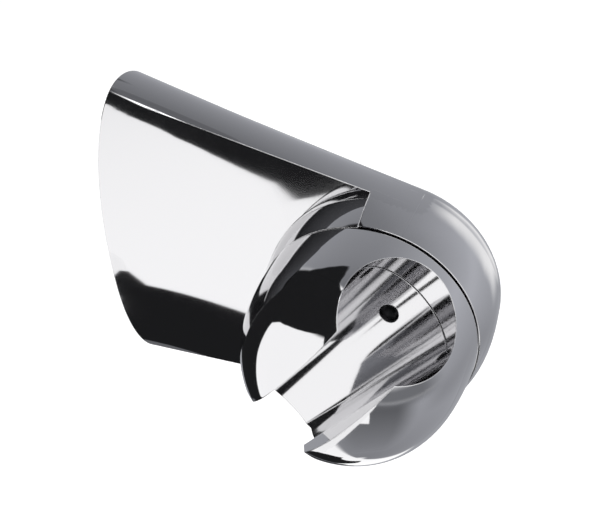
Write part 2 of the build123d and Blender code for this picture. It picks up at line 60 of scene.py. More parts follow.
# The camera that looks at the holder as the photograph does
CAMERA_AT = Vector((-0.1355, -0.09667, 0.07804))
CAMERA_RIGHT = Vector((0.3618, -0.9311, -0.0465))
CAMERA_UP = Vector((0.4795, 0.1430, 0.8658))
CAMERA_BACK = Vector((-0.7995, -0.3356, 0.4982))
CAMERA_LENS_MM = 43.40
CAMERA_SENSOR_MM = 36.0
CAMERA_RANGE = (0.005, 20.0)

# Lamps as (azimuth, elevation, distance, size) seen from the pivot, and the floor's width
KEY_LAMP = (-115, 78, 1.2, 1.0)
FILL_LAMP = (40, 60, 1.4, 1.2)
FILL_SHARE = 0.6
FLOOR_WIDTH = 40

# Noise scales per metre, how far noise moves the roughness, and samples of the rounded edges
HAZE_SCALE = 180.0
MOTTLE_SCALE = 90.0
GRAIN_SPREAD = 0.15
RING_SPREAD = 0.2
EDGE_SAMPLES = 6

# The tapered seat: direction of its axis, its place beside the pivot and its taper
SEAT_TURN = radians(48.75)
SEAT_AXIS = Vector((0, -cos(SEAT_TURN), sin(SEAT_TURN)))
SEAT_ACROSS = Vector((0, sin(SEAT_TURN), cos(SEAT_TURN)))
SEAT_CENTRE = Vector((-29.8 * MM, PIVOT.y, PIVOT.z)) + SEAT_ACROSS * 1.1 * MM
SEAT_TAPER = 0.052
SEAT_MATCH = 0.97

# The arm's rule in mm: an oval wall end that runs into the round tip; same sizes as the part's source
ARM_OVAL = (17.9, 36.2, 2 / 2.2)
ARM_CREASE = radians(67.0)
ARM_TIP_RADIUS = 25.9
ARM_TIP_CROWN = 0.15
ARM_BAND = (-4.5, 3.5)
ARM_BACK = (14.0, 2.2)
ARM_FLARE = 3.0
RULE_STEPS = (60, 70)
RULE_REACH = 2.0 * MM
RULE_DEPTH = 0.35 * MM
RULE_MATCH = cos(radians(25))

# How the plated copies are made smooth
MERGE_GAP = 1e-6
SPLIT_ROUNDS = 6
SHARP_TURN = radians(16)
FIT_NEIGHBOURS = 36
FIT_LEAST = 8
FIT_RIDGE = 1e-4
PLATED_EDGE = 1.5 * MM

# Threads and knurls:
# (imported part, new piece, body, axis, radius, start, length, waves per metre, waves round, depth)
RIDGED = (
    ("pivot_bolt", "bolt_threaded", "holder", "X", 3.0 * MM, 0.0, 6.3 * MM, 1000.0, 1, 0.45 * MM),
    ("thread_insert", "insert_knurled", "holder", "X", 4.5 * MM, -1.0 * MM, 9.0 * MM, 0.0, 36, 0.22 * MM),
    ("liner_set_screw", "set_screw_threaded", "holder", "X", 1.97 * MM, 0.6 * MM, 5.4 * MM, 1428.6, 1,
     0.3 * MM),
    ("bracket_grub_screw", "grub_threaded", "arm", "Z", 2.0 * MM, 0.2 * MM, 6.0 * MM, 1428.6, 1, 0.3 * MM),
)
RIDGE_ROUNDS = 9
RIDGE_EDGE = 0.28 * MM
RIDGE_SKIN = 0.05 * MM
RIDGE_FADE = 0.5 * MM
RIDGE_SHARP = radians(38)


class HolderFinish(bpy.types.PropertyGroup):
    chrome_tint: bpy.props.FloatVectorProperty(
        name="Chrome colour", description="Colour of the polished plating", subtype="COLOR",
        size=3, min=0, max=1, default=(0.632, 0.629, 0.64))
    chrome_roughness: bpy.props.FloatProperty(
        name="Chrome roughness", description="How far the plating scatters a reflection",
        default=0.035, min=0, max=1, subtype="FACTOR")
    edge_radius: bpy.props.FloatProperty(
        name="Edge radius", description="Rounding that the plating leaves on every sharp edge",
        default=0.0002, min=0, unit="LENGTH")
    seat_roughness: bpy.props.FloatProperty(
        name="Seat roughness", description="How far the plating in the tapered seat scatters a reflection",
        default=0.08, min=0, max=1, subtype="FACTOR")
    polish_waves: bpy.props.FloatProperty(
        name="Polish waves", description="Height of the plating's slow waves", default=0.000002,
        min=0, unit="LENGTH")


class HolderStudio(bpy.types.PropertyGroup):
    world_light: bpy.props.FloatProperty(
        name="Room light", description="Strength of the even light on matt surfaces", default=0.55, min=0)
    key_power: bpy.props.FloatProperty(
        name="Key power", description="Power of the large soft lamp", default=4.0, min=0, subtype="POWER")
    floor_depth: bpy.props.FloatProperty(
        name="Floor depth", description="How far the floor lies under the middle of the wall end",
        default=0.2, min=0.05, unit="LENGTH")
    card_level: bpy.props.FloatProperty(
        name="Card level", description="Brightness of a full white card", default=1.4, min=0)
    card_distance: bpy.props.FloatProperty(
        name="Card distance", description="How far the reflection cards stand from the pivot",
        default=30.0, min=0.5, unit="LENGTH")


def new_tree(material):
    """Empty the material's tree and return it with its Principled shader, joined to the output."""
    material.use_nodes = True
    tree = material.node_tree
    tree.nodes.clear()
    out = tree.nodes.new("ShaderNodeOutputMaterial")
    shader = tree.nodes.new("ShaderNodeBsdfPrincipled")
    tree.links.new(shader.outputs["BSDF"], out.inputs["Surface"])
    return tree, shader


def group_tree(name, inputs, outputs):
    """A shader node group with named sockets; each socket is (name, type, default)."""
    group = bpy.data.node_groups.new(name, "ShaderNodeTree")
    for label, kind, default in inputs:
        socket = group.interface.new_socket(label, in_out="INPUT", socket_type=kind)
        if default is not None:
            socket.default_value = default
    for label, kind in outputs:
        group.interface.new_socket(label, in_out="OUTPUT", socket_type=kind)
    entry = group.nodes.new("NodeGroupInput")
    end = group.nodes.new("NodeGroupOutput")
    return group, entry, end


def plug(tree, socket, value):
    """Feed a socket from another socket, or with a plain value."""
    if isinstance(value, bpy.types.NodeSocket):
        tree.links.new(value, socket)
    else:
        socket.default_value = value


def math_node(tree, operation, *values):
    """A Math node fed with sockets or plain numbers; gives its output."""
    node = tree.nodes.new("ShaderNodeMath")
    node.operation = operation
    for socket, value in zip(node.inputs, values):
        plug(tree, socket, value)
    return node.outputs[0]


def polish_group():
    """Roughness and normal of a polished or plated surface: slow waves and a fine haze."""
    group, entry, end = group_tree(
        "polish",
        [("Normal", "NodeSocketVector", None), ("Roughness", "NodeSocketFloat", 0.04),
         ("Haze", "NodeSocketFloat", 0.02), ("Wave height", "NodeSocketFloat", 0.000002),
         ("Wave scale", "NodeSocketFloat", 60.0)],
        [("Roughness", "NodeSocketFloat"), ("Normal", "NodeSocketVector")])
    nodes, links = group.nodes, group.links
    place = nodes.new("ShaderNodeTexCoord")
    haze = nodes.new("ShaderNodeTexNoise")
    haze.inputs["Scale"].default_value = HAZE_SCALE
    haze.inputs["Detail"].default_value = 6.0
    links.new(place.outputs["Object"], haze.inputs["Vector"])
    spread = math_node(group, "MULTIPLY_ADD", haze.outputs["Fac"], entry.outputs["Haze"],
                       entry.outputs["Roughness"])
    links.new(spread, end.inputs["Roughness"])
    wave = nodes.new("ShaderNodeTexNoise")
    wave.inputs["Detail"].default_value = 1.0
    links.new(entry.outputs["Wave scale"], wave.inputs["Scale"])
    links.new(place.outputs["Object"], wave.inputs["Vector"])
    bump = nodes.new("ShaderNodeBump")
    links.new(wave.outputs["Fac"], bump.inputs["Height"])
    links.new(entry.outputs["Wave height"], bump.inputs["Distance"])
    links.new(entry.outputs["Normal"], bump.inputs["Normal"])
    links.new(bump.outputs["Normal"], end.inputs["Normal"])
    return group


def moulded_group():
    """Colour, roughness and normal of a moulded plastic with a fine spark-eroded grain."""
    group, entry, end = group_tree(
        "moulded_grain",
        [("Colour", "NodeSocketColor", (0.5, 0.5, 0.5, 1)), ("Mottle", "NodeSocketFloat", 0.06),
         ("Roughness", "NodeSocketFloat", 0.5), ("Grain height", "NodeSocketFloat", 0.00001),
         ("Grain scale", "NodeSocketFloat", 1500.0)],
        [("Colour", "NodeSocketColor"), ("Roughness", "NodeSocketFloat"), ("Normal", "NodeSocketVector")])
    nodes, links = group.nodes, group.links
    place = nodes.new("ShaderNodeTexCoord")
    cloud = nodes.new("ShaderNodeTexNoise")
    cloud.inputs["Scale"].default_value = MOTTLE_SCALE
    cloud.inputs["Detail"].default_value = 4.0
    links.new(place.outputs["Object"], cloud.inputs["Vector"])
    shade = nodes.new("ShaderNodeMapRange")
    links.new(cloud.outputs["Fac"], shade.inputs["Value"])
    links.new(math_node(group, "SUBTRACT", 1.0, entry.outputs["Mottle"]), shade.inputs["To Min"])
    links.new(math_node(group, "ADD", 1.0, entry.outputs["Mottle"]), shade.inputs["To Max"])
    tint = nodes.new("ShaderNodeVectorMath")
    tint.operation = "SCALE"
    links.new(entry.outputs["Colour"], tint.inputs[0])
    links.new(shade.outputs["Result"], tint.inputs["Scale"])
    links.new(tint.outputs["Vector"], end.inputs["Colour"])
    grain = nodes.new("ShaderNodeTexNoise")
    grain.inputs["Detail"].default_value = 3.0
    links.new(entry.outputs["Grain scale"], grain.inputs["Scale"])
    links.new(place.outputs["Object"], grain.inputs["Vector"])
    rough = math_node(group, "MULTIPLY_ADD", grain.outputs["Fac"], GRAIN_SPREAD, entry.outputs["Roughness"])
    links.new(rough, end.inputs["Roughness"])
    bump = nodes.new("ShaderNodeBump")
    links.new(grain.outputs["Fac"], bump.inputs["Height"])
    links.new(entry.outputs["Grain height"], bump.inputs["Distance"])
    links.new(bump.outputs["Normal"], end.inputs["Normal"])
    return group


def turned_group():
    """Roughness and normal of lathe rings round an axis along X through a centre."""
    group, entry, end = group_tree(
        "turned_rings",
        [("Centre", "NodeSocketVector", (0, 0, 0)), ("Rings per metre", "NodeSocketFloat", 4000.0),
         ("Roughness", "NodeSocketFloat", 0.25), ("Ring height", "NodeSocketFloat", 0.000004)],
        [("Roughness", "NodeSocketFloat"), ("Normal", "NodeSocketVector")])
    nodes, links = group.nodes, group.links
    place = nodes.new("ShaderNodeTexCoord")
    away = nodes.new("ShaderNodeVectorMath")
    away.operation = "SUBTRACT"
    links.new(place.outputs["Object"], away.inputs[0])
    links.new(entry.outputs["Centre"], away.inputs[1])
    flat = nodes.new("ShaderNodeVectorMath")
    flat.operation = "MULTIPLY"
    flat.inputs[1].default_value = (0, 1, 1)
    links.new(away.outputs["Vector"], flat.inputs[0])
    radius = nodes.new("ShaderNodeVectorMath")
    radius.operation = "LENGTH"
    links.new(flat.outputs["Vector"], radius.inputs[0])
    rings = nodes.new("ShaderNodeTexNoise")
    rings.noise_dimensions = "1D"
    rings.inputs["Detail"].default_value = 3.0
    links.new(entry.outputs["Rings per metre"], rings.inputs["Scale"])
    links.new(radius.outputs["Value"], rings.inputs["W"])
    rough = math_node(group, "MULTIPLY_ADD", rings.outputs["Fac"], RING_SPREAD, entry.outputs["Roughness"])
    links.new(rough, end.inputs["Roughness"])
    bump = nodes.new("ShaderNodeBump")
    links.new(rings.outputs["Fac"], bump.inputs["Height"])
    links.new(entry.outputs["Ring height"], bump.inputs["Distance"])
    links.new(bump.outputs["Normal"], end.inputs["Normal"])
    return group


def effect(tree, group_name, values):
    """Place a node group in a material with its own values."""
    node = tree.nodes.new("ShaderNodeGroup")
    node.node_tree = bpy.data.node_groups[group_name]
    for label, value in values.items():
        node.inputs[label].default_value = value
    return node


def chrome(name, roughness, haze=0.02):
    """Polished plating with slow waves, a fine haze and rounded edges."""
    finish = bpy.context.scene.holder_finish
    material = bpy.data.materials.new(name)
    tree, shader = new_tree(material)
    shader.inputs["Base Color"].default_value = (*finish.chrome_tint, 1)
    shader.inputs["Metallic"].default_value = 1.0
    polish = effect(tree, "polish", {"Roughness": roughness, "Haze": haze,
                                     "Wave height": finish.polish_waves})
    edge = tree.nodes.new("ShaderNodeBevel")
    edge.samples = EDGE_SAMPLES
    edge.inputs["Radius"].default_value = finish.edge_radius
    tree.links.new(edge.outputs["Normal"], polish.inputs["Normal"])
    tree.links.new(polish.outputs["Roughness"], shader.inputs["Roughness"])
    tree.links.new(polish.outputs["Normal"], shader.inputs["Normal"])
    return material


def plastic(name, colour, roughness, grain_height=0.00001):
    """Moulded plastic with a fine grain."""
    material = bpy.data.materials.new(name)
    tree, shader = new_tree(material)
    shader.inputs["IOR"].default_value = 1.5
    grain = effect(tree, "moulded_grain", {"Colour": (*colour, 1), "Roughness": roughness,
                                           "Grain height": grain_height})
    tree.links.new(grain.outputs["Colour"], shader.inputs["Base Color"])
    tree.links.new(grain.outputs["Roughness"], shader.inputs["Roughness"])
    tree.links.new(grain.outputs["Normal"], shader.inputs["Normal"])
    return material


def turned_metal(name, colour, roughness):
    """Bare metal with the rings that a lathe leaves."""
    material = bpy.data.materials.new(name)
    tree, shader = new_tree(material)
    shader.inputs["Base Color"].default_value = (*colour, 1)
    shader.inputs["Metallic"].default_value = 1.0
    rings = effect(tree, "turned_rings", {"Centre": PIVOT, "Roughness": roughness})
    tree.links.new(rings.outputs["Roughness"], shader.inputs["Roughness"])
    tree.links.new(rings.outputs["Normal"], shader.inputs["Normal"])
    return material


def smooth_patches(work):
    """Number the faces of a bmesh by patch: a patch ends at every edge that turns sharply."""
    label = [-1] * len(work.faces)
    count = 0
    for seed in work.faces:
        if label[seed.index] >= 0:
            continue
        label[seed.index] = count
        queue = [seed]
        while queue:
            for edge in queue.pop().edges:
                if len(edge.link_faces) != 2 or not edge.smooth:
                    continue
                for face in edge.link_faces:
                    if label[face.index] < 0:
                        label[face.index] = count
                        queue.append(face)
        count += 1
    return np.array(label), count


def fitted_normals(samples, normals, places):
    """Normals at the places from a quadratic fit to the nearest samples, so that reflections run smooth."""
    near = min(FIT_NEIGHBOURS, len(samples))
    tree = KDTree(len(samples))
    for i, point in enumerate(samples):
        tree.insert(point, i)
    tree.balance()
    found = np.array([[hit[1] for hit in tree.find_n(place, near)] for place in places])
    reach = samples[found] - places[:, None, :]
    away = np.linalg.norm(reach, axis=2)
    limit = away.max(axis=1, keepdims=True) * 1.05 + 1e-9
    weight = (1 - (away / limit) ** 2) ** 2
    local = normals[found]
    mean = local[:, 0]
    helper = np.where(np.abs(mean[:, :1]) < 0.7, [[1.0, 0, 0]], [[0, 1.0, 0]])
    first = np.cross(mean, helper)
    first /= np.linalg.norm(first, axis=1, keepdims=True)
    second = np.cross(mean, first)
    u = np.einsum("nkc,nc->nk", reach, first) / limit
    v = np.einsum("nkc,nc->nk", reach, second) / limit
    basis = np.stack([np.ones_like(u), u, v, u * u, u * v, v * v], axis=2)
    square = np.einsum("nk,nki,nkj->nij", weight, basis, basis) + FIT_RIDGE * np.diag([0, 1, 1, 3, 3, 3])
    right = np.einsum("nk,nki,nkc->nic", weight, basis, local)
    result = np.linalg.solve(square, right)[:, 0]
    return result / np.linalg.norm(result, axis=1, keepdims=True)


def seat_normals(places, normals):
    """Exact normals wherever a surface follows the tapered seat."""
    axis = np.array(SEAT_AXIS)
    reach = places - np.array(SEAT_CENTRE)
    radial = reach - np.outer(reach @ axis, axis)
    radial /= np.linalg.norm(radial, axis=1, keepdims=True) + 1e-12
    exact = SEAT_TAPER * axis - radial
    exact /= np.linalg.norm(exact, axis=1, keepdims=True)
    agree = np.einsum("nc,nc->n", exact, normals)
    follows = np.abs(agree) > SEAT_MATCH
    normals[follows] = exact[follows] * np.sign(agree[follows])[:, None]
    return normals


def grid_normals(grid):
    """Unit normals of a grid of points, in whichever way the grid runs."""
    normal = np.cross(np.gradient(grid, axis=0, edge_order=2), np.gradient(grid, axis=1, edge_order=2))
    normal /= np.linalg.norm(normal, axis=2, keepdims=True) + 1e-15
    return normal


def arm_rule():
    """Sample points and exact normals of the arm's near side, band and far side, in metres."""
    half_width, half_height, power = ARM_OVAL
    pivot_y, pivot_z = PIVOT.y / MM, PIVOT.z / MM
    near_x, far_x = ARM_BAND
    station, along = np.meshgrid(np.linspace(0, 1, RULE_STEPS[0]), np.linspace(0.01, 1, RULE_STEPS[1]),
                                 indexing="ij")
    psi = ARM_CREASE * along
    share = np.sin(psi) / sin(ARM_CREASE)
    radius = ARM_TIP_RADIUS * share ** power
    wall_x = half_width * np.cos(psi) ** power
    wall_z = half_height * np.sin(psi) ** power
    crease_x = half_width * cos(ARM_CREASE) ** power
    back = np.maximum(0, 1 - (radius / ARM_TIP_RADIUS) ** ARM_BACK[1]) ** (1 / ARM_BACK[1])
    back_x = far_x + (ARM_BACK[0] - far_x) * back
    sides = {"near": [], "band": [], "far": []}
    for half in (1, -1):
        rise = half * half_height - pivot_z
        reach = -pivot_y
        tip = ARM_TIP_RADIUS + ARM_TIP_CROWN
        angle = np.arctan2(rise, reach) + half * np.arccos(tip / np.hypot(reach, rise))
        y = (pivot_y + radius * cos(angle)) * station
        z = half * wall_z * (1 - station) + (pivot_z + radius * sin(angle)) * station
        x = -(crease_x * (1 - station) - near_x * station) - (wall_x - crease_x) * (1 - station) ** ARM_FLARE
        near = np.stack([x, y, z], axis=2)
        far = np.stack([wall_x * (1 - station) + back_x * station, y, z], axis=2)
        share = station[:, :1]
        crown = np.concatenate([
            (near_x + far_x) / 2 * share, (pivot_y + tip * cos(angle)) * share,
            half * half_height * (1 - share) + (pivot_z + tip * sin(angle)) * share], axis=1)
        sides["near"].append(near)
        sides["far"].append(far)
        sides["band"].append(arcs(near[:, -1], crown, far[:, -1]))
    rule = {}
    for side, grids in sides.items():
        points, normals = [], []
        for grid in grids:
            normal = grid_normals(grid)
            middle = np.array([0, 0.5 * pivot_y, 0])
            outward = np.einsum("ijc,ijc->ij", normal, grid - middle)
            points.append(grid.reshape(-1, 3) * MM)
            normals.append((normal * np.sign(outward.mean())).reshape(-1, 3))
        rule[side] = (np.concatenate(points), np.concatenate(normals))
    return rule


def arcs(first, middle, last):
    """Points on the circle arcs through three rows of points."""
    a, b = first - last, middle - last
    across = np.cross(a, b)
    size = np.einsum("nc,nc->n", across, across)[:, None]
    aa = np.einsum("nc,nc->n", a, a)[:, None]
    bb = np.einsum("nc,nc->n", b, b)[:, None]
    centre = last + np.cross(aa * b - bb * a, across) / (2 * size)
    u, w = first - centre, last - centre
    radius = np.linalg.norm(u, axis=1, keepdims=True)
    turn = np.arccos(np.einsum("nc,nc->n", u, w)[:, None] / radius ** 2)
    t = np.linspace(0, 1, RULE_STEPS[1])[None, :, None]
    turn = turn[:, :, None]
    swept = np.sin((1 - t) * turn) * u[:, None] + np.sin(t * turn) * w[:, None]
    return centre[:, None] + swept / np.sin(turn)


def follow_rule(rule, centres, face_normals, corner_places, result):
    """Take the exact normals for every face that lies on one of the rule's sides."""
    labels = list(rule)
    trees = {}
    for side in labels:
        tree = KDTree(len(rule[side][0]))
        for i, point in enumerate(rule[side][0]):
            tree.insert(point, i)
        tree.balance()
        trees[side] = tree
    chosen = np.full(len(centres), -1)
    best = np.full(len(centres), RULE_MATCH)
    for k, side in enumerate(labels):
        points, normals = rule[side]
        found = np.array([trees[side].find(centre)[1] for centre in centres])
        away = centres - points[found]
        depth = np.abs(np.einsum("nc,nc->n", away, normals[found]))
        agree = np.einsum("nc,nc->n", face_normals, normals[found])
        fits = (np.linalg.norm(away, axis=1) < RULE_REACH) & (depth < RULE_DEPTH) & (agree > best)
        chosen[fits] = k
        best[fits] = agree[fits]
    for k, side in enumerate(labels):
        corners = np.nonzero(np.repeat(chosen, 3) == k)[0]
        if len(corners) == 0:
            continue
        used, back = np.unique(corner_places[corners].round(9), axis=0, return_inverse=True)
        result[corners] = fitted_normals(*rule[side], used)[back.ravel()]
        print("rule", side, len(corners) // 3, "faces")


def plated_copy(node_name, name, material, longest, seat_material=None, rule=None):
    """A merged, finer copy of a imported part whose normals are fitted, for a polished surface."""
    source = frame["nodes"][node_name]
    work = bmesh.new()
    work.from_mesh(source.data)
    bmesh.ops.remove_doubles(work, verts=work.verts, dist=MERGE_GAP)
    for edge in work.edges:
        edge.smooth = len(edge.link_faces) == 2 and edge.calc_face_angle(pi) < SHARP_TURN
    work.faces.ensure_lookup_table()
    work.normal_update()
    label, count = smooth_patches(work)
    flat = np.array([face.normal for face in work.faces])
    sums = {}
    for face in work.faces:
        for loop in face.loops:
            key = (label[face.index], loop.vert.index)
            sums[key] = sums.get(key, 0) + flat[face.index] * loop.calc_angle()
    by_patch = {}
    for (patch, vertex), total in sums.items():
        by_patch.setdefault(patch, []).append((vertex, total))
    samples = {}
    work.verts.ensure_lookup_table()
    for patch, rows in by_patch.items():
        points = np.array([work.verts[v].co for v, _ in rows])
        normals = np.array([total / np.linalg.norm(total) for _, total in rows])
        samples[patch] = (points, normals)
    tag = work.faces.layers.int.new("patch")
    for face in work.faces:
        face[tag] = int(label[face.index])
    for _ in range(SPLIT_ROUNDS):
        long = [e for e in work.edges if e.calc_length() > longest]
        if not long:
            break
        bmesh.ops.subdivide_edges(work, edges=long, cuts=1, use_grid_fill=False)
        bmesh.ops.triangulate(work, faces=[f for f in work.faces if len(f.verts) > 3])
    mesh = bpy.data.meshes.new(name)
    work.to_mesh(mesh)
    work.free()
    corner_patch = np.repeat([a.value for a in mesh.attributes["patch"].data], 3)
    corner_vertex = np.array([loop.vertex_index for loop in mesh.loops])
    places = np.array([v.co for v in mesh.vertices])
    result = np.zeros((len(corner_vertex), 3))
    for patch in range(count):
        mine = np.nonzero(corner_patch == patch)[0]
        points, normals = samples[patch]
        used, back = np.unique(corner_vertex[mine], return_inverse=True)
        if len(points) < FIT_LEAST:
            continue
        result[mine] = fitted_normals(points, normals, places[used])[back]
    seat_faces = []
    if seat_material:
        shape = np.repeat([polygon.normal for polygon in mesh.polygons], 3, axis=0)
        exact = seat_normals(places[corner_vertex], shape.copy())
        follows = np.any(exact != shape, axis=1)
        result[follows] = exact[follows]
        seat_faces = np.nonzero(follows.reshape(-1, 3).all(axis=1))[0]
    if rule:
        centres = np.array([polygon.center for polygon in mesh.polygons])
        turned = np.array([polygon.normal for polygon in mesh.polygons])
        follow_rule(rule, centres, turned, places[corner_vertex], result)
    for polygon in mesh.polygons:
        polygon.use_smooth = True
    mesh.attributes.remove(mesh.attributes["patch"])
    mesh.normals_split_custom_set(result)
    mesh.materials.append(material)
    if seat_material:
        mesh.materials.append(seat_material)
        for index in seat_faces:
            mesh.polygons[index].material_index = 1
    obj = bpy.data.objects.new(name, mesh)
    bpy.context.scene.collection.objects.link(obj)
    print(name, len(mesh.polygons), "triangles", count, "patches")
    return obj


def ridge_tree():
    """Node tree that cuts threads or knurls into a round skin: waves that run along and round its axis."""
    tree = bpy.data.node_groups.new("ridge_cut", "GeometryNodeTree")
    tree.is_modifier = True
    for label, kind in (("Geometry", "NodeSocketGeometry"), ("Centre", "NodeSocketVector"),
                        ("Axis", "NodeSocketVector"), ("Radius", "NodeSocketFloat"),
                        ("Start", "NodeSocketFloat"), ("End", "NodeSocketFloat"),
                        ("Waves per metre", "NodeSocketFloat"), ("Waves round", "NodeSocketFloat"),
                        ("Depth", "NodeSocketFloat"), ("Material", "NodeSocketMaterial")):
        tree.interface.new_socket(label, in_out="INPUT", socket_type=kind)
    tree.interface.new_socket("Geometry", in_out="OUTPUT", socket_type="NodeSocketGeometry")
    nodes, links = tree.nodes, tree.links
    entry, end = nodes.new("NodeGroupInput"), nodes.new("NodeGroupOutput")

    def maths(operation, *values):
        return math_node(tree, operation, *values)

    def vectors(operation, *values, out="Vector"):
        node = nodes.new("ShaderNodeVectorMath")
        node.operation = operation
        for socket, value in zip(node.inputs, values):
            plug(tree, socket, value)
        return node.outputs[out]

    def scaled(vector, factor):
        node = nodes.new("ShaderNodeVectorMath")
        node.operation = "SCALE"
        links.new(vector, node.inputs[0])
        plug(tree, node.inputs["Scale"], factor)
        return node.outputs["Vector"]

    def rise(value, low, high):
        node = nodes.new("ShaderNodeMapRange")
        node.interpolation_type = "SMOOTHSTEP"
        plug(tree, node.inputs["Value"], value)
        plug(tree, node.inputs["From Min"], low)
        plug(tree, node.inputs["From Max"], high)
        return node.outputs["Result"]

    axis = vectors("NORMALIZE", entry.outputs["Axis"])
    place = vectors("SUBTRACT", nodes.new("GeometryNodeInputPosition").outputs[0], entry.outputs["Centre"])
    along = vectors("DOT_PRODUCT", place, axis, out="Value")
    spoke = vectors("SUBTRACT", place, scaled(axis, along))
    first = vectors("CROSS_PRODUCT", axis, (0, 1, 0))
    second = vectors("CROSS_PRODUCT", axis, first)
    angle = maths("ARCTAN2", vectors("DOT_PRODUCT", spoke, second, out="Value"),
                  vectors("DOT_PRODUCT", spoke, first, out="Value"))
    turns = maths("MULTIPLY", maths("DIVIDE", angle, 2 * pi), entry.outputs["Waves round"])
    count = maths("MULTIPLY", along, entry.outputs["Waves per metre"])
    phase = maths("FRACT", maths("SUBTRACT", count, turns))
    valley = maths("ABSOLUTE", maths("MULTIPLY_ADD", phase, 2.0, -1.0))
    low, high = entry.outputs["Start"], entry.outputs["End"]
    ends = maths("MULTIPLY", rise(along, low, maths("ADD", low, RIDGE_FADE)),
                 rise(along, high, maths("SUBTRACT", high, RIDGE_FADE)))
    cut = maths("MULTIPLY", maths("MULTIPLY", valley, ends), maths("MULTIPLY", entry.outputs["Depth"], -1.0))
    on_skin = maths("COMPARE", vectors("LENGTH", spoke, out="Value"), entry.outputs["Radius"], RIDGE_SKIN)
    move = nodes.new("GeometryNodeSetPosition")
    links.new(entry.outputs["Geometry"], move.inputs["Geometry"])
    links.new(on_skin, move.inputs["Selection"])
    links.new(scaled(vectors("NORMALIZE", spoke), cut), move.inputs["Offset"])
    whole = nodes.new("GeometryNodeRealizeInstances")
    links.new(move.outputs["Geometry"], whole.inputs["Geometry"])
    paint_all = nodes.new("GeometryNodeSetMaterial")
    links.new(whole.outputs["Geometry"], paint_all.inputs["Geometry"])
    links.new(entry.outputs["Material"], paint_all.inputs["Material"])
    links.new(paint_all.outputs["Geometry"], end.inputs["Geometry"])
    return tree


def ridged_copy(row, material):
    """A copy of a packed screw or insert with its thread or knurl cut in."""
    node_name, name, body, axis_name, radius, start, length, along, around, depth = row
    axis = Vector((1, 0, 0)) if axis_name == "X" else Vector((0, 0, 1))
    work = bmesh.new()
    work.from_mesh(frame["nodes"][node_name].data)
    bmesh.ops.remove_doubles(work, verts=work.verts, dist=MERGE_GAP)
    corners = [vertex.co for vertex in work.verts]
    low = Vector([min(c[i] for c in corners) for i in range(3)])
    high = Vector([max(c[i] for c in corners) for i in range(3)])
    centre = (low + high) / 2
    centre -= axis * (centre - low).dot(axis)

    def on_skin(vertex):
        away = vertex.co - centre
        return abs((away - axis * away.dot(axis)).length - radius) < RIDGE_SKIN

    for _ in range(RIDGE_ROUNDS):
        long = [e for e in work.edges if e.calc_length() > RIDGE_EDGE and all(map(on_skin, e.verts))]
        if not long:
            break
        bmesh.ops.subdivide_edges(work, edges=long, cuts=1)
        bmesh.ops.triangulate(work, faces=[f for f in work.faces if len(f.verts) > 3])
        for vertex in filter(on_skin, work.verts):
            away = vertex.co - centre
            spoke = away - axis * away.dot(axis)
            vertex.co += spoke * (radius / spoke.length - 1)
    mesh = bpy.data.meshes.new(name)
    work.to_mesh(mesh)
    work.free()
    obj = bpy.data.objects.new(name, mesh)
    bpy.context.scene.collection.objects.link(obj)
    tree = bpy.data.node_groups["ridge_cut"]
    modifier = obj.modifiers.new("ridges", "NODES")
    modifier.node_group = tree
    values = {"Centre": centre, "Axis": axis, "Radius": radius, "Start": start, "End": start + length,
              "Waves per metre": along, "Waves round": float(around), "Depth": depth, "Material": material}
    for item in tree.interface.items_tree:
        if item.in_out == "INPUT" and item.name in values:
            modifier[item.identifier] = values[item.name]
    obj.update_tag()
    made = obj.evaluated_get(bpy.context.evaluated_depsgraph_get())
    cut = bpy.data.meshes.new_from_object(made)
    obj.modifiers.clear()
    obj.data = cut
    for polygon in cut.polygons:
        polygon.use_smooth = True
    cut.set_sharp_from_angle(angle=RIDGE_SHARP)
    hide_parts(node_name)
    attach(obj, body)
    print(name, len(cut.polygons), "triangles")
    return obj


def paint(node_name, material):
    """Give a carried-over part its own material."""
    mesh = frame["nodes"][node_name].data
    mesh.materials.clear()
    mesh.materials.append(material)


class HOLDER_OT_effects(bpy.types.Operator):
    """Build the shared effects that the materials use"""
    bl_idname = "holder.effects"
    bl_label = "Shared effects"

    def execute(self, context):
        polish_group()
        moulded_group()
        turned_group()
        ridge_tree()
        return {"FINISHED"}


class HOLDER_OT_arm(bpy.types.Operator):
    """Plate the arm and its pivot cap"""
    bl_idname = "holder.arm"
    bl_label = "Arm"

    def execute(self, context):
        plating = chrome("chrome_arm", context.scene.holder_finish.chrome_roughness)
        paint("pivot_cap", plating)
        arm = plated_copy("arm_body", "arm_shell", plating, PLATED_EDGE, rule=arm_rule())
        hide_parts("arm_body")
        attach(arm, "arm")
        return {"FINISHED"}


class HOLDER_OT_disc(bpy.types.Operator):
    """Plate the holder disc and the liner in its seat"""
    bl_idname = "holder.disc"
    bl_label = "Holder disc"

    def execute(self, context):
        roughness = context.scene.holder_finish.chrome_roughness
        seat = chrome("chrome_seat", context.scene.holder_finish.seat_roughness)
        disc = plated_copy("holder_disc", "disc_shell", chrome("chrome_disc", roughness), PLATED_EDGE, seat)
        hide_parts("holder_disc")
        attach(disc, "holder")
        liner = plated_copy("cone_liner", "liner_shell", chrome("chrome_liner", roughness), PLATED_EDGE, seat)
        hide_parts("cone_liner")
        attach(liner, "holder")
        return {"FINISHED"}


class HOLDER_OT_pivot(bpy.types.Operator):
    """Finish the pieces of the friction pivot"""
    bl_idname = "holder.pivot"
    bl_label = "Pivot pieces"

    def execute(self, context):
        steel = turned_metal("steel", (0.56, 0.55, 0.53), 0.2)
        for name in ("thrust_washer", "disc_springs"):
            paint(name, steel)
        brass = turned_metal("brass", (0.8, 0.62, 0.3), 0.22)
        ridged_copy(RIDGED[0], steel)
        ridged_copy(RIDGED[1], brass)
        paint("bearing_bush", plastic("bush_plastic", (0.72, 0.7, 0.64), 0.4))
        paint("friction_ring", plastic("ring_plastic", (0.05, 0.05, 0.055), 0.5))
        return {"FINISHED"}


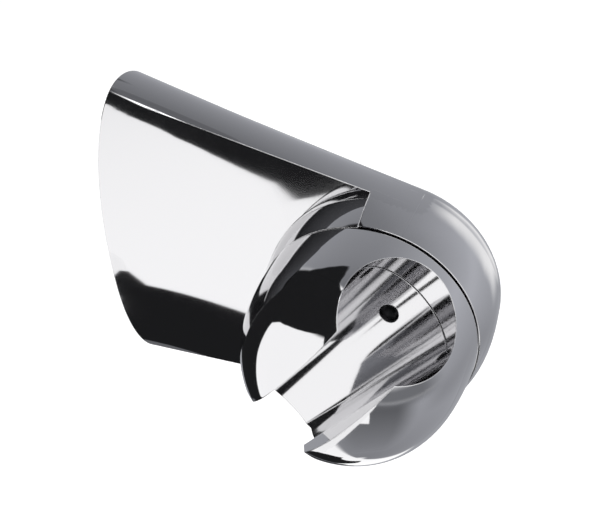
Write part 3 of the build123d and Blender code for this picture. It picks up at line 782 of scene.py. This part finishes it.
class HOLDER_OT_mounting(bpy.types.Operator):
    """Finish the wall bracket and the small lock screws"""
    bl_idname = "holder.mounting"
    bl_label = "Mounting pieces"

    def execute(self, context):
        paint("wall_bracket", plastic("bracket_plastic", (0.12, 0.12, 0.13), 0.45))
        screws = turned_metal("black_steel", (0.022, 0.022, 0.024), 0.5)
        for row in RIDGED[2:]:
            ridged_copy(row, screws)
        return {"FINISHED"}


def direction(azimuth, elevation):
    """Unit vector: azimuth 0 is -Y, 90 is +X; elevation is above the horizon."""
    a, e = radians(azimuth), radians(elevation)
    return Vector((sin(a) * cos(e), -cos(a) * cos(e), sin(e)))


def stage_only_in_mirrors(obj):
    """A card is seen in reflections only: it neither lights nor hides anything."""
    obj.visible_camera = False
    obj.visible_diffuse = False
    obj.visible_shadow = False
    obj.visible_transmission = False
    obj.visible_volume_scatter = False


def card_material(name, low, high, feather, second_only):
    """Plain card that fades out at its edges; its brightness runs from low to high up the card.

    A dark card glows a little from the third reflection on, so that deep hollows don't go black.
    """
    material = bpy.data.materials.new(name)
    material.use_nodes = True
    tree = material.node_tree
    tree.nodes.clear()
    nodes, links = tree.nodes, tree.links
    uv = nodes.new("ShaderNodeUVMap")
    uv.uv_map = "card"
    parts = nodes.new("ShaderNodeSeparateXYZ")
    links.new(uv.outputs["UV"], parts.inputs[0])
    mask = None
    for axis, width in zip(("X", "Y"), feather):
        for flip in (False, True) if width else ():
            edge = nodes.new("ShaderNodeMapRange")
            edge.interpolation_type = "SMOOTHSTEP"
            edge.inputs["From Min"].default_value = 1.0 if flip else 0.0
            edge.inputs["From Max"].default_value = 1.0 - width if flip else width
            links.new(parts.outputs[axis], edge.inputs["Value"])
            shown = edge.outputs["Result"]
            mask = shown if mask is None else math_node(tree, "MULTIPLY", mask, shown)
    depth = nodes.new("ShaderNodeLightPath").outputs["Ray Depth"]
    if second_only:
        mask = math_node(tree, "MULTIPLY", math_node(tree, "COMPARE", depth, SECOND_RAY, HALF_RAY), mask)
    glow = nodes.new("ShaderNodeEmission")
    if high < GREY_BELOW:
        glow.inputs["Color"].default_value = GREY_TONE
    ramp = nodes.new("ShaderNodeMapRange")
    ramp.inputs["To Min"].default_value = low
    ramp.inputs["To Max"].default_value = high
    links.new(parts.outputs["Y"], ramp.inputs["Value"])
    strength = ramp.outputs["Result"]
    if low < DARK_CARD:
        deep = math_node(tree, "GREATER_THAN", depth, SECOND_RAY + HALF_RAY)
        strength = math_node(tree, "MULTIPLY_ADD", deep, DEEP_GLOW, strength)
    links.new(strength, glow.inputs["Strength"])
    clear = nodes.new("ShaderNodeBsdfTransparent")
    mix = nodes.new("ShaderNodeMixShader")
    mix.inputs["Fac"].default_value = 1.0
    if mask:
        links.new(mask, mix.inputs["Fac"])
    links.new(clear.outputs[0], mix.inputs[1])
    links.new(glow.outputs[0], mix.inputs[2])
    out = nodes.new("ShaderNodeOutputMaterial")
    links.new(mix.outputs[0], out.inputs["Surface"])
    return material


# Reflection cards, nearest first: brightness at the bottom and top, fade at the sides and ends, whether only
# second reflections see the card, and rows of (elevation, first azimuth, last azimuth) in degrees, from low
# to high. A scratch program traced where the photograph's reflections lead; the corners were typed from that.
CARDS = (
    ("glint_between", 0.85, 0.85, 0.1, 0.1, True, ((-21, -124, -110), (5, -126, -115.5))),
    ("flag_between", 0.012, 0.14, 0.08, 0.05, True, ((5, -150, -103), (62, -150, -96))),
    ("flag_behind_edge", 0.012, 0.012, 0.1, 0.05, True, ((-28, -108.5, -101.5), (6, -113, -101))),
    ("ceiling_light", 2.2, 2.2, 0.12, 0.1, False, ((80.3, -162, -20), (87, -158, -20))),
    ("flag_strip", 0.012, 0.012, 0.003, 0.003, False, (
        (-26, -107, -103.7), (-24.4, -107, -103.4), (-24.2, -107, -102.8), (-20, -107, -102.7),
        (-11.4, -107, -100.7), (-3.5, -107, -99.1), (13.4, -107, -96.5), (28.8, -107, -95.7),
        (36, -108, -95.5), (43.5, -110, -95.7), (52.5, -116, -97.5), (62, -130, -102), (72, -180, -112))),
    ("grey_below_wall", 0.12, 0.12, 0.02, 0.02, False, (
        (-66.2, 112, 195), (-64.6, 112, 214), (-60.2, 112, 228), (-56, 112, 236), (-44, 112, 240))),
    ("flag_below", 0.012, 0.012, 0.0, 0.006, False, (
        (-67, -250, -152), (-61, -250, -124), (-58.5, -190, -114.2), (-55.5, -190, -108.4),
        (-49.5, -190, -98.3), (-46.5, -190, -95.3), (-43.5, -190, -91.3), (-37.8, -190, -86.6),
        (-37.5, -92.8, -86.5), (-34, -88.6, -86.2), (-33, -87.6, -86.2))),
    ("flag_under_wall", 0.012, 0.012, 0.04, 0.04, False, (
        (-83, 95, 215), (-76, 105, 210), (-73, 112, 200), (-70, 116, 180), (-61, 124, 160))),
    ("streak_lip", 0.95, 0.95, 0.04, 0.03, False, (
        (-71, -165, -130), (-66.5, -150, -118), (-64.5, -142, -110), (-61.5, -128, -103.5),
        (-58.5, -118, -99), (-52.5, -107, -91), (-46.5, -99, -85), (-37.5, -90, -77), (-28.5, -85, -69),
        (-20, -76, -60))),
    ("softbox_left", 1.03, 0.92, 0.01, 0.01, False, ((-42, -101, -70), (0, -104, -66), (68, -110, -62))),
    ("softbox_back_left", 1.0, 1.0, 0.02, 0.06, False, (
        (-48, -170, -99), (-10, -173, -99), (14, -174, -99), (22, -166, -99), (28, -151, -99),
        (35, -131, -99), (40, -113, -99))),
    ("flag_above_left", 0.012, 0.012, 0.03, 0.01, False, (
        (10, -215, -94), (70, -215, -94), (76, -190, -96), (80, -186, -98))),
    ("flag_wall_side", 0.012, 0.012, 0.06, 0.01, False, (
        (-50, 143, 190), (38, 143, 190), (46, 137, 190), (52, 126, 190), (57, 110, 190), (60, 111, 190),
        (66, 119, 190), (69.4, 130, 190), (72, 140, 190), (76, 150, 190), (79, 165, 190), (81.3, 180, 190))),
    ("grey_zenith", 0.13, 0.13, 0.02, 0.05, False, ((78, 90, 205), (90, 90, 205))),
    ("tip_streak", 0.8, 0.8, 0.5, 0.25, False, (
        (-28, 59, 77), (-17, 57.5, 75), (-9, 54, 72), (0, 55.5, 74),
        (7, 57, 75), (13, 59.5, 78), (26, 68, 88))),
    ("grey_tip_low", 0.2, 0.5, 0.35, 0.3, False, ((-44, -10, 92), (12, -10, 92))),
    ("grey_tip", 0.5, 0.14, 0.35, 0.1, False, ((-16, -10, 92), (90, -10, 92))),
    ("grey_above_right", 0.37, 0.15, 0.1, 0.06, False, ((-14, 30, 152), (90, 30, 152))),
    ("grey_behind", 0.3, 0.3, 0.08, 0.08, False, ((-64, 58, 152), (-8, 58, 152))),
    ("table_edge", 0.17, 0.17, 0.08, 0.4, False, ((-31, -70, 40), (0, -70, 40))),
    ("table_left", 0.25, 0.1, 0.3, 0.06, False, ((-76, -115, -5), (-22, -115, -5))),
    ("table", 0.22, 0.37, 0.06, 0.06, False, ((-90, -112, 75), (-20, -112, 75))),
    ("room", 1.0, 1.0, 0.0, 0.0, False, ((-90, -180, 180), (90, -180, 180))),
)
# These two stand close, in metres, so that the arm and the disc see them in different places
NEAR_CARDS = {"flag_below": 0.3, "streak_lip": 0.306}
CARD_GAP = 0.02
SECOND_RAY = 2.0
HALF_RAY = 0.5
DARK_CARD = 0.05
DEEP_GLOW = 0.5
FLOOR_GLOW = 0.55
GREY_TONE = (0.963, 0.984, 1.053, 1)
GREY_BELOW = 0.9
CARD_CELL = 4.0


def reflection_card(name, rows, material, distance):
    """A curved card that covers a span of directions as seen from the pivot."""
    vertices, faces, places = [], [], []
    levels = []
    columns = ceil(max(last - first for _, first, last in rows) / CARD_CELL)
    for (e0, a0, b0), (e1, a1, b1) in zip(rows, rows[1:]):
        steps = ceil((e1 - e0) / CARD_CELL)
        for j in range(steps):
            t = j / steps
            levels.append((e0 + (e1 - e0) * t, a0 + (a1 - a0) * t, b0 + (b1 - b0) * t))
    levels.append(rows[-1])
    low, high = rows[0][0], rows[-1][0]
    for elevation, first, last in levels:
        for i in range(columns + 1):
            u = i / columns
            vertices.append(PIVOT + direction(first + (last - first) * u, elevation) * distance)
            places.append((u, (elevation - low) / (high - low)))
    wide = columns + 1
    for j in range(len(levels) - 1):
        for i in range(columns):
            k = j * wide + i
            faces.append((k, k + 1, k + wide + 1, k + wide))
    mesh = bpy.data.meshes.new(name)
    mesh.from_pydata(vertices, [], faces)
    uv = mesh.uv_layers.new(name="card")
    for loop in mesh.loops:
        uv.data[loop.index].uv = places[loop.vertex_index]
    mesh.materials.append(material)
    obj = bpy.data.objects.new(name, mesh)
    bpy.context.scene.collection.objects.link(obj)
    stage_only_in_mirrors(obj)
    return obj


def studio_world(strength):
    """Even light on matt surfaces; white where the camera, metal or glass sees it."""
    world = bpy.data.worlds.new("studio")
    bpy.context.scene.world = world
    world.use_nodes = True
    tree = world.node_tree
    tree.nodes.clear()
    nodes, links = tree.nodes, tree.links
    path = nodes.new("ShaderNodeLightPath")
    seen = math_node(tree, "MAXIMUM", path.outputs["Is Camera Ray"], path.outputs["Is Glossy Ray"])
    seen = math_node(tree, "MAXIMUM", seen, path.outputs["Is Transmission Ray"])
    level = nodes.new("ShaderNodeMapRange")
    level.inputs["To Min"].default_value = strength
    level.inputs["To Max"].default_value = 1.0
    links.new(seen, level.inputs["Value"])
    sky = nodes.new("ShaderNodeBackground")
    sky.inputs["Color"].default_value = (1, 1, 1, 1)
    links.new(level.outputs["Result"], sky.inputs["Strength"])
    out = nodes.new("ShaderNodeOutputWorld")
    links.new(sky.outputs[0], out.inputs["Surface"])


def studio_camera():
    """The camera that stands where the photographer's stood."""
    data = bpy.data.cameras.new("photo_view")
    data.sensor_width = CAMERA_SENSOR_MM
    data.lens = CAMERA_LENS_MM
    data.clip_start, data.clip_end = CAMERA_RANGE
    camera = bpy.data.objects.new("photo_view", data)
    bpy.context.scene.collection.objects.link(camera)
    turn = Matrix((CAMERA_RIGHT, CAMERA_UP, CAMERA_BACK)).transposed().to_quaternion()
    camera.rotation_mode = "QUATERNION"
    camera.rotation_quaternion = turn
    camera.location = CAMERA_AT
    bpy.context.scene.camera = camera


def soft_lamp(name, azimuth, elevation, distance, size, power):
    """A square soft lamp aimed at the pivot; the cards stand in for it in the mirrors."""
    data = bpy.data.lights.new(name, "AREA")
    data.shape = "SQUARE"
    data.size = size
    data.energy = power
    lamp = bpy.data.objects.new(name, data)
    bpy.context.scene.collection.objects.link(lamp)
    away = direction(azimuth, elevation)
    lamp.rotation_mode = "QUATERNION"
    lamp.rotation_quaternion = away.to_track_quat("Z", "Y")
    lamp.location = PIVOT + away * distance
    lamp.visible_glossy = False


def studio_floor(depth, size):
    """Pale floor under the holder; it keeps the shadow, and the cards stand in for it in the mirrors."""
    mesh = bpy.data.meshes.new("studio_floor")
    half = size / 2
    corners = [(-half, -half, 0), (half, -half, 0), (half, half, 0), (-half, half, 0)]
    mesh.from_pydata(corners, [], [(0, 1, 2, 3)])
    material = bpy.data.materials.new("floor_pale")
    tree, shader = new_tree(material)
    shader.inputs["Base Color"].default_value = (0.8, 0.8, 0.8, 1)
    shader.inputs["Roughness"].default_value = 0.9
    shader.inputs["Specular IOR Level"].default_value = 0.0
    shader.inputs["Emission Color"].default_value = (1, 1, 1, 1)
    path = tree.nodes.new("ShaderNodeLightPath")
    glow = math_node(tree, "MULTIPLY", path.outputs["Is Camera Ray"], FLOOR_GLOW)
    tree.links.new(glow, shader.inputs["Emission Strength"])
    mesh.materials.append(material)
    floor = bpy.data.objects.new("studio_floor", mesh)
    floor.location = (PIVOT.x, PIVOT.y, -depth)
    floor.visible_glossy = False
    bpy.context.scene.collection.objects.link(floor)


class HOLDER_OT_stage(bpy.types.Operator):
    """Set the camera, the soft lamps, the floor and the reflection cards"""
    bl_idname = "holder.stage"
    bl_label = "Studio"

    def execute(self, context):
        studio = context.scene.holder_studio
        studio_camera()
        studio_world(studio.world_light)
        soft_lamp("key_lamp", *KEY_LAMP, studio.key_power)
        soft_lamp("fill_lamp", *FILL_LAMP, studio.key_power * FILL_SHARE)
        studio_floor(studio.floor_depth, FLOOR_WIDTH)
        for order, (name, low, high, side_fade, end_fade, second_only, rows) in enumerate(CARDS):
            level = studio.card_level
            material = card_material(name, low * level, high * level, (side_fade, end_fade), second_only)
            distance = NEAR_CARDS.get(name, studio.card_distance * (1 + order * CARD_GAP))
            reflection_card(name, rows, material, distance)
        context.scene.view_settings.view_transform = "Standard"
        return {"FINISHED"}


class HOLDER_PT_panel(bpy.types.Panel):
    """Lists the steps that dress the holder"""
    bl_idname = "HOLDER_PT_panel"
    bl_label = "Hand shower holder"
    bl_space_type = "VIEW_3D"
    bl_region_type = "UI"
    bl_category = "Holder"

    def draw(self, context):
        column = self.layout.column()
        for step in STEPS:
            column.operator(step.bl_idname)
        for group in (context.scene.holder_finish, context.scene.holder_studio):
            for name in group.__annotations__:
                column.prop(group, name)


STEPS = (HOLDER_OT_effects, HOLDER_OT_arm, HOLDER_OT_disc, HOLDER_OT_pivot, HOLDER_OT_mounting,
         HOLDER_OT_stage)
GROUPS = (HolderFinish, HolderStudio)


def register():
    for item in (*GROUPS, *STEPS, HOLDER_PT_panel):
        bpy.utils.register_class(item)
    bpy.types.Scene.holder_finish = bpy.props.PointerProperty(type=HolderFinish)
    bpy.types.Scene.holder_studio = bpy.props.PointerProperty(type=HolderStudio)


def unregister():
    del bpy.types.Scene.holder_studio
    del bpy.types.Scene.holder_finish
    for item in reversed((*GROUPS, *STEPS, HOLDER_PT_panel)):
        bpy.utils.unregister_class(item)


def main():
    register()
    for step in STEPS:
        family, name = step.bl_idname.split(".")
        getattr(getattr(bpy.ops, family), name)()


if __name__ == "__main__":
    main()
